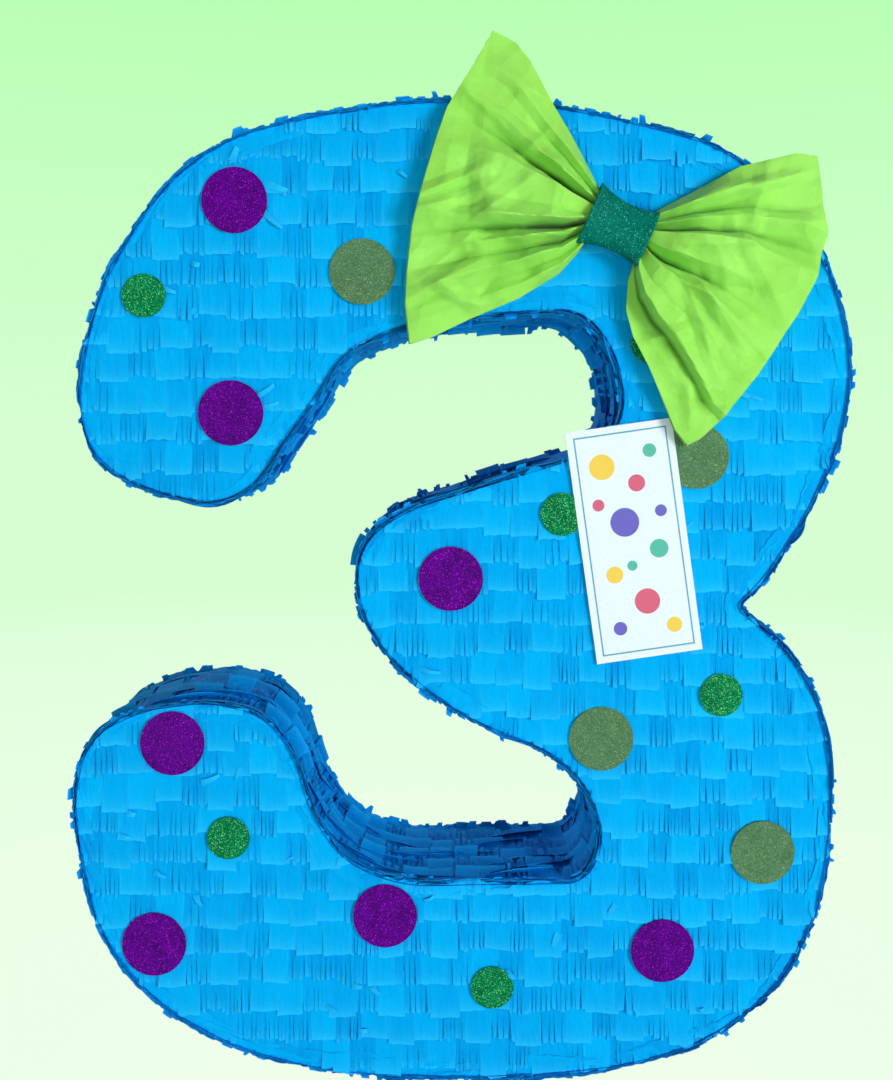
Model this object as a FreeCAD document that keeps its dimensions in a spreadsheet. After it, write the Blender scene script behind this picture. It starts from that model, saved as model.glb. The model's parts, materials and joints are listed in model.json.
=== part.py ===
import FreeCAD, Part
import math
import os

# A number-three party pinata: a cardboard box in the shape of the figure, covered in
# rows of tissue fringe, with glitter dots, a tissue bow, a card and a fill flap behind.
# Row frame: X to the right, Y to the back, Z up. The origin is the hang hole, on the
# outer face of the top wall, half-way through the depth.

V = FreeCAD.Vector
os.makedirs("parts", exist_ok=True)
doc = FreeCAD.newDocument("pinata")

# ---- driving dimensions -----------------------------------------------------------
SIZES = {
    "box_depth": 100.0,          # front face to back face of the cardboard box
    "card_thick": 3.0,           # single-wall corrugated board
    "fringe_thick": 2.0,         # stacked tissue over the board
    "fringe_skin": 1.2,          # tissue at the top of a row, under the next row
    "row_pitch": 18.0,
    "side_rows": 5.0,
    "side_row_pitch": 20.6,
    "side_row_width": 15.0,
    "tape_thick": 0.3,
    "tape_leg": 12.0,
    "glue_strip_thick": 0.6,
    "dot_thick": 0.6,
    "dot_large": 38.1,           # 1 1/2 inch craft punch
    "dot_small": 25.4,           # 1 inch craft punch
    "hang_hole_r": 4.0,
    "fringe_hole_r": 9.0,
    "hanger_width": 36.0,
    "hanger_length": 64.0,
    "hanger_centre_x": -8.0,
    "stick_r": 4.0,
    "stick_length": 60.0,
    "stick_offset_x": -11.0,
    "stick_tape_width": 14.0,
    "stick_tape_flange": 6.0,
    "stick_tape_pos_y": 18.0,
    "flap_width": 80.0,
    "flap_height": 80.0,
    "flap_centre_x": 140.0,
    "flap_hinge_z": -90.0,
    "flap_gap": 0.6,
    "flap_hinge_gap": 0.3,
    "flap_fringe_margin": 4.0,
    "flap_side_margin": 1.0,
    "card_width": 63.0,
    "card_height": 138.0,
    "card_sheet": 0.5,
    "card_centre_x": 86.0,
    "card_centre_z": -254.5,
    "card_lean_deg": 8.2,
    "glue_strip_width": 12.0,
    "glue_strip_length": 96.0,
    "bow_centre_x": 73.5,
    "bow_centre_z": -72.5,
    "bow_lean_deg": -24.0,
    "bow_band_length": 36.0,
    "bow_band_width": 38.0,
    "bow_band_depth": 22.0,
    "bow_band_sheet": 1.0,
    "bow_paper_thick": 1.6,
    "bow_valley_y": -54.6,
    "bow_ridge_y": -78.0,
    "bow_core_ridge_y": -70.0,
}

# Outline of the board, clockwise seen from the front: name, x, z and, where the corner
# is tighter than its neighbours, the length of the straight side the corner takes up.
OUTLINE = [
    ("crown_left", -45.0, 0.0, 18.0), ("crown_right", 22.0, 0.0, 11.0),
    ("brow_top", 84.0, -11.0, 0), ("brow_right", 141.0, -27.0, 0),
    ("bowl_shoulder", 183.0, -64.0, 0), ("bowl_upper", 205.0, -113.0, 0),
    ("bowl_side", 213.0, -152.0, 0), ("bowl_lower", 207.0, -194.0, 0),
    ("bowl_under", 187.0, -240.0, 0), ("waist_above", 163.0, -276.0, 9.0),
    ("waist_notch", 146.0, -293.5, 5.0), ("waist_below", 178.0, -320.0, 0),
    ("belly_upper", 198.0, -355.0, 0), ("belly_high", 204.0, -394.0, 0),
    ("belly_low", 204.0, -440.0, 0), ("belly_lower", 195.0, -483.0, 0),
    ("belly_corner", 173.0, -525.0, 0), ("base_right", 130.0, -558.0, 0),
    ("base_inner_right", 74.0, -573.0, 0), ("base_centre", -6.0, -578.0, 0),
    ("base_inner_left", -92.0, -574.0, 0), ("base_left", -150.0, -559.0, 0),
    ("foot_under", -199.0, -530.0, 0), ("foot_corner", -230.0, -490.0, 0),
    ("foot_side", -240.0, -446.0, 0), ("foot_heel", -245.0, -408.0, 0),
    ("foot_top_left", -236.0, -372.0, 0), ("foot_top", -205.0, -355.0, 0),
    ("foot_crest", -163.0, -350.0, 0), ("foot_shoulder", -131.0, -359.0, 0),
    ("foot_inside", -114.0, -384.0, 0), ("low_bay_slope", -107.0, -414.0, 0),
    ("low_bay_turn", -87.0, -446.0, 0), ("low_bay_floor", -52.0, -461.0, 0),
    ("low_bay_corner", 60.0, -460.0, 14.0), ("low_bay_end", 71.0, -432.0, 12.0),
    ("low_bay_top", 60.0, -399.0, 0), ("nose_under_right", 36.0, -378.0, 0),
    ("nose_under", 0.0, -365.0, 0), ("nose_chin", -30.0, -347.0, 0),
    ("nose_below", -61.0, -320.0, 0), ("nose_tip_low", -77.0, -288.0, 0),
    ("nose_tip", -74.0, -256.0, 0), ("nose_top_left", -50.0, -238.0, 0),
    ("nose_top", 0.0, -222.0, 0), ("up_bay_corner", 70.0, -201.0, 6.0),
    ("up_bay_end", 82.0, -176.0, 0), ("up_bay_shoulder", 75.0, -141.0, 0),
    ("up_bay_roof_right", 54.0, -117.0, 0), ("up_bay_roof", -40.0, -123.0, 0),
    ("hook_inside_top", -86.0, -142.0, 0), ("hook_inside", -103.0, -172.0, 0),
    ("hook_inside_low", -123.0, -198.0, 0), ("hook_tip_right", -138.0, -222.0, 0),
    ("hook_tip", -160.0, -232.0, 0), ("hook_tip_left", -201.0, -223.0, 0),
    ("hook_jaw", -230.0, -206.0, 0), ("hook_cheek", -239.0, -176.0, 0),
    ("hook_side", -233.0, -136.0, 0), ("hook_brow", -220.0, -97.0, 0),
    ("hook_crown", -187.0, -47.0, 0), ("hook_shoulder", -151.0, -21.0, 0),
    ("crown_far_left", -108.0, -9.5, 0),
]
CORNER_SHARE = 0.47

# Wall strips, each from one outline corner to another, clockwise.
WALLS = [
    ("top", "hook_crown", "bowl_shoulder"),
    ("bowl", "bowl_upper", "waist_above"),
    ("belly", "waist_notch", "belly_corner"),
    ("base", "base_right", "foot_under"),
    ("foot", "foot_corner", "foot_shoulder"),
    ("lower_bay", "foot_inside", "low_bay_end"),
    ("nose", "low_bay_top", "nose_top"),
    ("upper_bay", "up_bay_corner", "up_bay_roof"),
    ("hook", "hook_inside_top", "hook_brow"),
]

# Glitter dots on the front: node, size, x and z of the centre.
DOTS = [
    ("dot_purple_hook_top", "dot_large", -147.5, -56.0),
    ("dot_purple_hook_low", "dot_large", -150.5, -179.0),
    ("dot_purple_nose", "dot_large", -22.0, -276.5),
    ("dot_purple_foot", "dot_large", -186.5, -374.0),
    ("dot_purple_heel", "dot_large", -198.5, -495.0),
    ("dot_purple_base", "dot_large", -61.0, -478.5),
    ("dot_purple_belly", "dot_large", 105.0, -500.5),
    ("dot_olive_hook", "dot_large", -73.5, -97.0),
    ("dot_olive_neck", "dot_large", 122.5, -204.5),
    ("dot_olive_waist", "dot_large", 67.5, -372.0),
    ("dot_olive_belly", "dot_large", 164.5, -441.0),
    ("dot_emerald_hook", "dot_small", -200.5, -111.0),
    ("dot_emerald_bowl", "dot_small", 96.0, -138.0),
    ("dot_emerald_neck", "dot_small", 43.5, -238.5),
    ("dot_emerald_waist", "dot_small", 138.5, -346.0),
    ("dot_emerald_foot", "dot_small", -154.0, -431.0),
    ("dot_emerald_base", "dot_small", 3.0, -522.5),
]

# Open ends of the gathered bow, top to bottom on each side of the band: x, z.
BOW_LEFT = [(2, 38), (-16, 11), (-28, -25), (-37, -57), (-44, -85), (-48, -112), (-46, -128), (-43, -140)]
BOW_RIGHT = [(188, -32), (193, -60), (194, -88), (182, -112), (168, -137), (150, -162), (132, -184), (114, -197)]


def cell_values():
    """Every number the model uses, by its spreadsheet word."""
    values = dict(SIZES)
    for name, x, z, side in OUTLINE:
        values[name + "_x"] = x
        values[name + "_z"] = z
        if side:
            values[name + "_side"] = side
    for name, size, x, z in DOTS:
        values[name + "_x"] = x
        values[name + "_z"] = z
    return values


dims = doc.addObject("Spreadsheet::Sheet", "dims")
for row, (alias, value) in enumerate(cell_values().items(), start=1):
    dims.set("A%d" % row, alias)
    dims.set("B%d" % row, str(value))
    dims.setAlias("B%d" % row, alias)
doc.recompute()


def size(alias):
    """A driving dimension, read back from the sheet."""
    return float(getattr(dims, alias))


# ---- the outline as straight sides joined by tangent arcs --------------------------
def rounded_corners():
    """One arc per outline corner: start, middle, end, centre, radius and which way it bends."""
    points = []
    for name, _, _, _ in OUTLINE:
        points.append(V(size(name + "_x"), size(name + "_z"), 0))
    count = len(points)
    sides = []
    for i in range(count):
        sides.append((points[(i + 1) % count] - points[i]).Length)
    corners = {}
    for i, (name, _, _, own_side) in enumerate(OUTLINE):
        here = points[i]
        back = (points[i - 1] - here).normalize()
        ahead = (points[(i + 1) % count] - here).normalize()
        reach = size(name + "_side") if own_side else CORNER_SHARE * min(sides[i - 1], sides[i])
        half_angle = back.getAngle(ahead) / 2
        radius = reach * math.tan(half_angle)
        inward = (back + ahead).normalize()
        centre = here + inward * (radius / math.sin(half_angle))
        corners[name] = {
            "start": here + back * reach,
            "end": here + ahead * reach,
            "inward": inward,
            "centre": centre,
            "radius": radius,
            "bulges": back.cross(ahead).z > 0,
        }
    return corners


CORNERS = rounded_corners()
NAMES = [entry[0] for entry in OUTLINE]


def moved(corner, offset):
    """A corner's arc points with the outline moved outward by offset."""
    radius = corner["radius"] + (offset if corner["bulges"] else -offset)
    scale = radius / corner["radius"]
    centre = corner["centre"]
    start = centre + (corner["start"] - centre) * scale
    end = centre + (corner["end"] - centre) * scale
    middle = centre - corner["inward"] * radius
    return start, middle, end


def closed_outline(offset):
    """Lines and arcs of the whole outline, moved outward by offset."""
    arcs = [moved(CORNERS[name], offset) for name in NAMES]
    pieces = []
    for i, (start, middle, end) in enumerate(arcs):
        pieces.append(Part.Arc(start, middle, end))
        pieces.append(Part.LineSegment(end, arcs[(i + 1) % len(arcs)][0]))
    return pieces


def joint_after(name, offset):
    """The middle of the straight side that follows a corner."""
    following = NAMES[(NAMES.index(name) + 1) % len(NAMES)]
    return (moved(CORNERS[name], offset)[2] + moved(CORNERS[following], offset)[0]) * 0.5


def strip_points(first, last, offset):
    """Arc triples between two corners, with the end points of the strip."""
    begin = NAMES.index(first)
    span = (NAMES.index(last) - begin) % len(NAMES) + 1
    chosen = [NAMES[(begin + k) % len(NAMES)] for k in range(span)]
    arcs = [moved(CORNERS[name], offset) for name in chosen]
    return joint_after(NAMES[begin - 1], offset), arcs, joint_after(last, offset)


def strip_profile(first, last, inner, outer):
    """Closed profile of a strip between two offsets of the outline."""
    pieces = []
    start, arcs, stop = strip_points(first, last, outer)
    at = start
    for arc_start, middle, end in arcs:
        pieces.append(Part.LineSegment(at, arc_start))
        pieces.append(Part.Arc(arc_start, middle, end))
        at = end
    pieces.append(Part.LineSegment(at, stop))
    in_start, in_arcs, in_stop = strip_points(first, last, inner)
    pieces.append(Part.LineSegment(stop, in_stop))
    at = in_stop
    for arc_start, middle, end in reversed(in_arcs):
        pieces.append(Part.LineSegment(at, end))
        pieces.append(Part.Arc(end, middle, arc_start))
        at = arc_start
    pieces.append(Part.LineSegment(at, in_start))
    pieces.append(Part.LineSegment(in_start, start))
    return pieces


def rectangle(x_low, z_low, x_high, z_high):
    """Four sides of a rectangle."""
    ring = [V(x_low, z_low, 0), V(x_high, z_low, 0), V(x_high, z_high, 0), V(x_low, z_high, 0)]
    return polygon(ring)


def polygon(ring):
    """Closed chain of straight sides."""
    return [Part.LineSegment(ring[i], ring[(i + 1) % len(ring)]) for i in range(len(ring))]


# ---- PartDesign helpers ------------------------------------------------------------
PARTS = []


def new_body(node, base=None, expressions=None):
    """A body that becomes one exported sub-part."""
    body = doc.addObject("PartDesign::Body", node)
    body.Label = node
    body.Placement = FreeCAD.Placement(base or V(0, 0, 0), FreeCAD.Rotation())
    for path, expression in (expressions or {}).items():
        body.setExpression(path, expression)
    PARTS.append(body)
    return body


def new_sketch(body, plane, geometry, name, along=0.0):
    """A sketch on one of the body's own planes."""
    sketch = body.newObject("Sketcher::SketchObject", name)
    for feature in body.Origin.OriginFeatures:
        if feature.Role == plane:
            sketch.AttachmentSupport = [(feature, "")]
    sketch.MapMode = "FlatFace"
    sketch.AttachmentOffset = FreeCAD.Placement(V(0, 0, along), FreeCAD.Rotation())
    sketch.addGeometry(geometry, False)
    return sketch


def pad(body, sketch, expression, name, midplane=False):
    """Pad a sketch by a length from the sheet."""
    feature = body.newObject("PartDesign::Pad", name)
    feature.Profile = sketch
    if midplane:
        feature.Midplane = True
    feature.setExpression("Length", expression)
    sketch.Visibility = False
    body.Tip = feature
    return feature


def cut_through(body, sketch, name):
    """Cut a sketch through the whole body, both ways."""
    before = body.Shape.Volume
    feature = body.newObject("PartDesign::Pocket", name)
    feature.Profile = sketch
    feature.Type = "ThroughAll"
    feature.Midplane = True
    sketch.Visibility = False
    body.Tip = feature
    doc.recompute()
    if body.Shape.Volume > before - 1e-3:
        raise RuntimeError(name + " removed nothing")
    return feature


HALF = size("box_depth") / 2
THICK = size("card_thick")
FRINGE = size("fringe_thick")
INSIDE = -THICK

# ---- cardboard panels --------------------------------------------------------------
front = new_body("front_panel", V(0, THICK - HALF, 0),
                 {"Placement.Base.y": "dims.card_thick - dims.box_depth / 2"})
pad(front, new_sketch(front, "XZ_Plane", closed_outline(0), "front_outline"), "dims.card_thick", "front_sheet")

back = new_body("back_panel", V(0, HALF, 0), {"Placement.Base.y": "dims.box_depth / 2"})
pad(back, new_sketch(back, "XZ_Plane", closed_outline(0), "back_outline"), "dims.card_thick", "back_sheet")
doc.recompute()

flap_left = size("flap_centre_x") - size("flap_width") / 2
flap_right = size("flap_centre_x") + size("flap_width") / 2
flap_top = size("flap_hinge_z")
flap_low = flap_top - size("flap_height")
gap = size("flap_gap")
opening = rectangle(flap_left - gap, flap_low - gap, flap_right + gap, flap_top)
cut_through(back, new_sketch(back, "XZ_Plane", opening, "fill_opening_outline"), "fill_opening")

# The flap is the piece cut out of the back panel. Its top edge is scored and folds on
# the outer skin of the board, so the hinge line lies on the back face.
flap = new_body("fill_flap", V(0, HALF, 0), {"Placement.Base.y": "dims.box_depth / 2"})
flap_face = rectangle(flap_left, flap_low, flap_right, flap_top - size("flap_hinge_gap"))
pad(flap, new_sketch(flap, "XZ_Plane", flap_face, "flap_outline"), "dims.card_thick", "flap_sheet")

# ---- cardboard wall strips and their fringe ------------------------------------------
for label, first, last in WALLS:
    wall = new_body("wall_" + label, V(0, HALF - THICK, 0),
                    {"Placement.Base.y": "dims.box_depth / 2 - dims.card_thick"})
    profile = strip_profile(first, last, INSIDE, 0)
    pad(wall, new_sketch(wall, "XZ_Plane", profile, "strip_" + label),
        "dims.box_depth - 2 * dims.card_thick", "wall_sheet_" + label)

    fringe = new_body("fringe_" + label, V(0, HALF + FRINGE, 0),
                      {"Placement.Base.y": "dims.box_depth / 2 + dims.fringe_thick"})
    skin = strip_profile(first, last, 0, size("fringe_skin"))
    pad(fringe, new_sketch(fringe, "XZ_Plane", skin, "skin_" + label),
        "dims.box_depth + 2 * dims.fringe_thick", "tissue_" + label)
    rows = strip_profile(first, last, 0, FRINGE)
    row = pad(fringe, new_sketch(fringe, "XZ_Plane", rows, "row_" + label, 6.6),
              "dims.side_row_width", "first_row_" + label)
    pattern = fringe.newObject("PartDesign::LinearPattern", "rows_" + label)
    pattern.Originals = [row]
    for feature in fringe.Origin.OriginFeatures:
        if feature.Role == "Y_Axis":
            pattern.Direction = (feature, [""])
    pattern.Reversed = True
    pattern.setExpression("Length", "dims.side_row_pitch * (dims.side_rows - 1)")
    pattern.setExpression("Occurrences", "dims.side_rows")
    fringe.Tip = pattern
    doc.recompute()

# The hang hole goes through the top wall, and the fringe is parted around it.
for node, alias, middle in (("wall_top", "hang_hole_r", THICK - HALF), ("fringe_top", "fringe_hole_r", -HALF - FRINGE)):
    body = doc.getObject(node)
    circle = Part.Circle(V(0, middle, 0), V(0, 0, 1), size(alias))
    hole_sketch = new_sketch(body, "XY_Plane", [circle], "hole_outline_" + node)
    depth_cut = body.newObject("PartDesign::Pocket", "hang_hole_" + node)
    depth_cut.Profile = hole_sketch
    depth_cut.Type = "Length"
    depth_cut.Length = 30
    depth_cut.Midplane = True
    body.Tip = depth_cut
    doc.recompute()


# ---- fringe on the two faces ---------------------------------------------------------
def row_teeth(side, z_top, z_low):
    """Overlapping rows seen from the side: thin under the row above, thick at the hem."""
    pitch = size("row_pitch")
    base = side * HALF
    thin = side * (HALF + size("fringe_skin"))
    full = side * (HALF + FRINGE)
    ring = [V(base, z_top, 0)]
    z = z_top
    while z > z_low:
        below = max(z - pitch, z_low)
        ring.append(V(thin, z, 0))
        ring.append(V(full, below, 0))
        z = below
    ring.append(V(base, z_low, 0))
    return polygon(ring)


def face_fringe(node, side, z_top, z_low, keep, extra=None):
    """Rows of tissue over a face, trimmed to an outline."""
    body = new_body(node)
    teeth = new_sketch(body, "YZ_Plane", row_teeth(side, z_top, z_low), "rows_of_" + node)
    pad(body, teeth, "dims.flap_width * 8", "tissue_of_" + node, midplane=True)
    doc.recompute()
    trim = rectangle(-400, -700, 400, 100) + keep
    cut_through(body, new_sketch(body, "XZ_Plane", trim, "trim_of_" + node), "trimmed_" + node)
    if extra:
        cut_through(body, new_sketch(body, "XZ_Plane", extra, "window_of_" + node), "window_" + node)
    return body


ROWS_TOP = 2.0
ROWS_LOW = -592.0
face_fringe("front_fringe", -1, ROWS_TOP, ROWS_LOW, closed_outline(0))
margin = size("flap_fringe_margin")
side_margin = size("flap_side_margin")
window = rectangle(flap_left - side_margin, flap_low - side_margin, flap_right + side_margin, flap_top + margin)
face_fringe("back_fringe", 1, ROWS_TOP, ROWS_LOW, closed_outline(0), window)
face_fringe("flap_fringe", 1, flap_top - margin, flap_low, rectangle(flap_left, flap_low, flap_right, flap_top - margin))

# ---- seam tape inside the four edges ---------------------------------------------------
for label, base_y, leg_first in (("front", THICK - HALF + size("tape_leg"), False), ("back", HALF - THICK, True)):
    tape = new_body("seam_tape_" + label, V(0, base_y, 0))
    on_wall = closed_outline(INSIDE) + closed_outline(INSIDE - size("tape_thick"))
    pad(tape, new_sketch(tape, "XZ_Plane", on_wall, "tape_wall_leg_" + label), "dims.tape_leg", "tape_leg_" + label)
    on_panel = closed_outline(INSIDE) + closed_outline(INSIDE - size("tape_leg"))
    along = 0.0 if leg_first else size("tape_leg") - size("tape_thick")
    pad(tape, new_sketch(tape, "XZ_Plane", on_panel, "tape_panel_leg_" + label, along), "dims.tape_thick",
        "tape_face_" + label)
doc.recompute()

# ---- hanger inside the top wall --------------------------------------------------------
hanger = new_body("hanger_plate", V(0, 0, -2 * THICK), {"Placement.Base.z": "-2 * dims.card_thick"})
half_w = size("hanger_width") / 2
half_l = size("hanger_length") / 2
mid_x = size("hanger_centre_x")
pad(hanger, new_sketch(hanger, "XY_Plane", rectangle(mid_x - half_w, -half_l, mid_x + half_w, half_l), "hanger_outline"),
    "dims.card_thick", "hanger_sheet")
doc.recompute()
hole = Part.Circle(V(0, 0, 0), V(0, 0, 1), size("hang_hole_r"))
cut_through(hanger, new_sketch(hanger, "XY_Plane", [hole], "hanger_hole_outline"), "hanger_hole")

stick_z = -2 * THICK - size("stick_r")
stick_x = size("stick_offset_x")
stick = new_body("hanger_stick", V(stick_x, 0, stick_z), {
    "Placement.Base.x": "dims.stick_offset_x",
    "Placement.Base.z": "-2 * dims.card_thick - dims.stick_r"})
round_end = [Part.Circle(V(0, 0, 0), V(0, 0, 1), size("stick_r"))]
pad(stick, new_sketch(stick, "XZ_Plane", round_end, "stick_section"), "dims.stick_length", "dowel", midplane=True)


def omega_profile():
    """A strip of tape over the dowel, with a flange on each side against the plate."""
    radius = size("stick_r")
    outer = radius + size("tape_thick")
    reach = outer + size("stick_tape_flange")
    top = radius
    low = radius - size("tape_thick")
    inner_x = radius
    pieces = [
        Part.LineSegment(V(-reach, top, 0), V(-inner_x, top, 0)),
        Part.LineSegment(V(-inner_x, top, 0), V(-inner_x, 0, 0)),
        Part.Arc(V(-inner_x, 0, 0), V(0, -radius, 0), V(inner_x, 0, 0)),
        Part.LineSegment(V(inner_x, 0, 0), V(inner_x, top, 0)),
        Part.LineSegment(V(inner_x, top, 0), V(reach, top, 0)),
        Part.LineSegment(V(reach, top, 0), V(reach, low, 0)),
        Part.LineSegment(V(reach, low, 0), V(outer, low, 0)),
        Part.LineSegment(V(outer, low, 0), V(outer, 0, 0)),
        Part.Arc(V(outer, 0, 0), V(0, -outer, 0), V(-outer, 0, 0)),
        Part.LineSegment(V(-outer, 0, 0), V(-outer, low, 0)),
        Part.LineSegment(V(-outer, low, 0), V(-reach, low, 0)),
        Part.LineSegment(V(-reach, low, 0), V(-reach, top, 0)),
    ]
    return pieces


for label, sign in (("front", -1), ("back", 1)):
    strap = new_body("stick_tape_" + label, V(stick_x, sign * size("stick_tape_pos_y"), stick_z))
    pad(strap, new_sketch(strap, "XZ_Plane", omega_profile(), "strap_section_" + label), "dims.stick_tape_width",
        "strap_" + label, midplane=True)

# ---- glitter dots ---------------------------------------------------------------------
for node, alias, x, z in DOTS:
    dot = new_body(node, V(size(node + "_x"), -HALF - FRINGE, size(node + "_z")), {
        "Placement.Base.x": "dims." + node + "_x",
        "Placement.Base.y": "-dims.box_depth / 2 - dims.fringe_thick",
        "Placement.Base.z": "dims." + node + "_z"})
    disc = new_sketch(dot, "XZ_Plane", [Part.Circle(V(0, 0, 0), V(0, 0, 1), size(alias) / 2)], "disc_of_" + node)
    pad(dot, disc, "dims.dot_thick", "disc_" + node)

# ---- card on the front ------------------------------------------------------------------
lean = FreeCAD.Rotation(V(0, 1, 0), -size("card_lean_deg"))


def leaning(node, width, height, base_y, thickness, centre):
    """A flat rectangle on the front, leaning like the card."""
    body = new_body(node)
    body.Placement = FreeCAD.Placement(V(centre[0], base_y, centre[1]), lean)
    face = rectangle(-width / 2, -height / 2, width / 2, height / 2)
    pad(body, new_sketch(body, "XZ_Plane", face, "face_of_" + node), thickness, "sheet_of_" + node)
    return body


card_mid = (size("card_centre_x"), size("card_centre_z"))
glue_y = -HALF - FRINGE
leaning("label_card", size("card_width"), size("card_height"), glue_y - size("glue_strip_thick"), "dims.card_sheet", card_mid)
leaning("label_tape", size("glue_strip_width"), size("glue_strip_length"), glue_y, "dims.glue_strip_thick",
        (card_mid[0] + 9.0, card_mid[1] - 12.0))


# ---- bow --------------------------------------------------------------------------------
def bow_axis_point(along, across):
    """A point in the bow's own directions, along the band and across it."""
    angle = math.radians(size("bow_lean_deg"))
    x = size("bow_centre_x") + along * math.cos(angle) - across * math.sin(angle)
    z = size("bow_centre_z") + along * math.sin(angle) + across * math.cos(angle)
    return x, z


def bow_columns():
    """Points of the pleated paper: open left end, both ends of the band, open right end."""
    folds = len(BOW_LEFT)
    half_band = size("bow_band_length") / 2 + 1.0
    half_gather = size("bow_band_width") / 2 - 3.0
    columns = []
    for outline, along in ((BOW_LEFT, None), (None, -half_band), (None, half_band), (BOW_RIGHT, None)):
        column = []
        for i in range(folds):
            raised = i % 2 == 1
            if outline:
                x, z = outline[i]
                y = size("bow_ridge_y") if raised else size("bow_valley_y")
            else:
                x, z = bow_axis_point(along, half_gather * (1 - 2 * i / (folds - 1)))
                y = size("bow_core_ridge_y") if raised else size("bow_valley_y")
            column.append(V(x, y, z))
        columns.append(column)
    return columns


def pleated_solid(columns, thickness):
    """A closed pleated sheet: a front skin, the same skin moved back, and its edges."""
    shift = V(0, thickness, 0)
    wide = len(columns)
    tall = len(columns[0])
    faces = []

    def add(a, b, c):
        faces.append(Part.Face(Part.makePolygon([a, b, c, a])))

    for j in range(wide - 1):
        for i in range(tall - 1):
            a, b = columns[j][i], columns[j + 1][i]
            c, d = columns[j + 1][i + 1], columns[j][i + 1]
            for move in (V(0, 0, 0), shift):
                add(a + move, b + move, c + move)
                add(a + move, c + move, d + move)
    border = [columns[j][0] for j in range(wide)]
    border += [columns[-1][i] for i in range(1, tall)]
    border += [columns[j][-1] for j in range(wide - 2, -1, -1)]
    border += [columns[0][i] for i in range(tall - 2, 0, -1)]
    for k, point in enumerate(border):
        following = border[(k + 1) % len(border)]
        add(point, following, following + shift)
        add(point, following + shift, point + shift)
    solid = Part.Solid(Part.Shell(faces))
    if solid.Volume < 0:
        solid.reverse()
    return solid


# The bow paper is a faceted pleat, which no sketch-based feature describes.
bow = doc.addObject("Part::Feature", "bow_paper")
bow.Shape = pleated_solid(bow_columns(), size("bow_paper_thick"))
bow.Placement = FreeCAD.Placement(V(0, 0, 0), FreeCAD.Rotation())
bow.Label = "bow_paper"
PARTS.append(bow)

band = new_body("bow_band")
band_front = -HALF - FRINGE
band.Placement = FreeCAD.Placement(V(size("bow_centre_x"), band_front, size("bow_centre_z")),
                                   FreeCAD.Rotation(V(0, 1, 0), -size("bow_lean_deg")))
sheet = size("bow_band_sheet")
half_band = size("bow_band_width") / 2
deep = size("bow_band_depth")
outer = rectangle(-deep, -half_band, 0, half_band)
inner = rectangle(-deep + sheet, -half_band + sheet, -sheet, half_band - sheet)
pad(band, new_sketch(band, "YZ_Plane", outer + inner, "band_section"), "dims.bow_band_length", "band_ring", midplane=True)
doc.recompute()

# ---- check and write ----------------------------------------------------------------------
for entry in doc.Objects:
    for state in entry.State:
        if state in ("Invalid", "Error"):
            raise RuntimeError(entry.Name + " is " + state)
for part in PARTS:
    if part.Shape.isNull() or not part.Shape.isValid():
        raise RuntimeError(part.Label + " has no valid shape")
    if not part.Shape.Solids:
        raise RuntimeError(part.Label + " has no solid")
    part.Shape.exportStep("parts/%s.step" % part.Label)
    print(part.Label, round(part.Shape.Volume / 1000, 2), "cm3", len(part.Shape.Solids))
print(len(PARTS), "sub-parts")
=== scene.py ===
import json
import math
import random

import bpy
import numpy as np
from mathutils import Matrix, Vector, noise


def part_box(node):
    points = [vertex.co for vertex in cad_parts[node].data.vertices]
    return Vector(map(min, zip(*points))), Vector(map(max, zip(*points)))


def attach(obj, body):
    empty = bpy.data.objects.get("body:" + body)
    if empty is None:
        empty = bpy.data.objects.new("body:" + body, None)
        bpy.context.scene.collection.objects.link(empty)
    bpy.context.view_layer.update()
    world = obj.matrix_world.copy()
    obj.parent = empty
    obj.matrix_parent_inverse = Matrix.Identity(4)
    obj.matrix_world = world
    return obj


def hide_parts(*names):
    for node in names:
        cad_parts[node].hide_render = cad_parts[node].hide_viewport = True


# A number-three pinata: tissue fringe in rows, glitter dots, a gathered tissue bow, a card.
# Metres. X to the right, Y to the back, Z up, origin at the hang hole on the top wall.

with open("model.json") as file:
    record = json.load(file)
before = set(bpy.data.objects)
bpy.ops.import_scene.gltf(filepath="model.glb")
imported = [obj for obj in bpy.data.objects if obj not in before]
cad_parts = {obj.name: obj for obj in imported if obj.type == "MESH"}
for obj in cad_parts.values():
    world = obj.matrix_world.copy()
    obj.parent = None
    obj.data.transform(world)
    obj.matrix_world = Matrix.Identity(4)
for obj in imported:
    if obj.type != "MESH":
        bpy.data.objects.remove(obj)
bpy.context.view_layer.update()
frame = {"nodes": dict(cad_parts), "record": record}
MM = 0.001

FACE = -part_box("front_panel")[0][1]      # distance of the board's front face from the middle
PITCH = 18 * MM                          # height of one row of fringe
TAB = 15.5 * MM                          # width of one cut tab
SHEET = 0.14 * MM                        # thickness of a few layers of tissue


# ---- outline of the figure, read from the board ---------------------------------------
def outline_of(node):
    """The corner points of a panel's front face, in order."""
    mesh = frame["nodes"][node].data
    points = np.array([v.co[:] for v in mesh.vertices])
    on_face = np.abs(points[:, 1] - points[:, 1].min()) < 1e-6
    places = {}
    edges = set()

    def key(index):
        place = (round(points[index, 0] * 1e6), round(points[index, 2] * 1e6))
        places[place] = (points[index, 0], points[index, 2])
        return place

    for polygon in mesh.polygons:
        corners = list(polygon.vertices)
        if not all(on_face[i] for i in corners):
            continue
        for a, b in zip(corners, corners[1:] + corners[:1]):
            a, b = key(a), key(b)
            if (b, a) in edges:
                edges.remove((b, a))
            else:
                edges.add((a, b))
    follow = dict(edges)
    start = max(follow)
    loop = [start]
    while follow[loop[-1]] != start:
        loop.append(follow[loop[-1]])
    return np.array([places[place] for place in loop])


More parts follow.
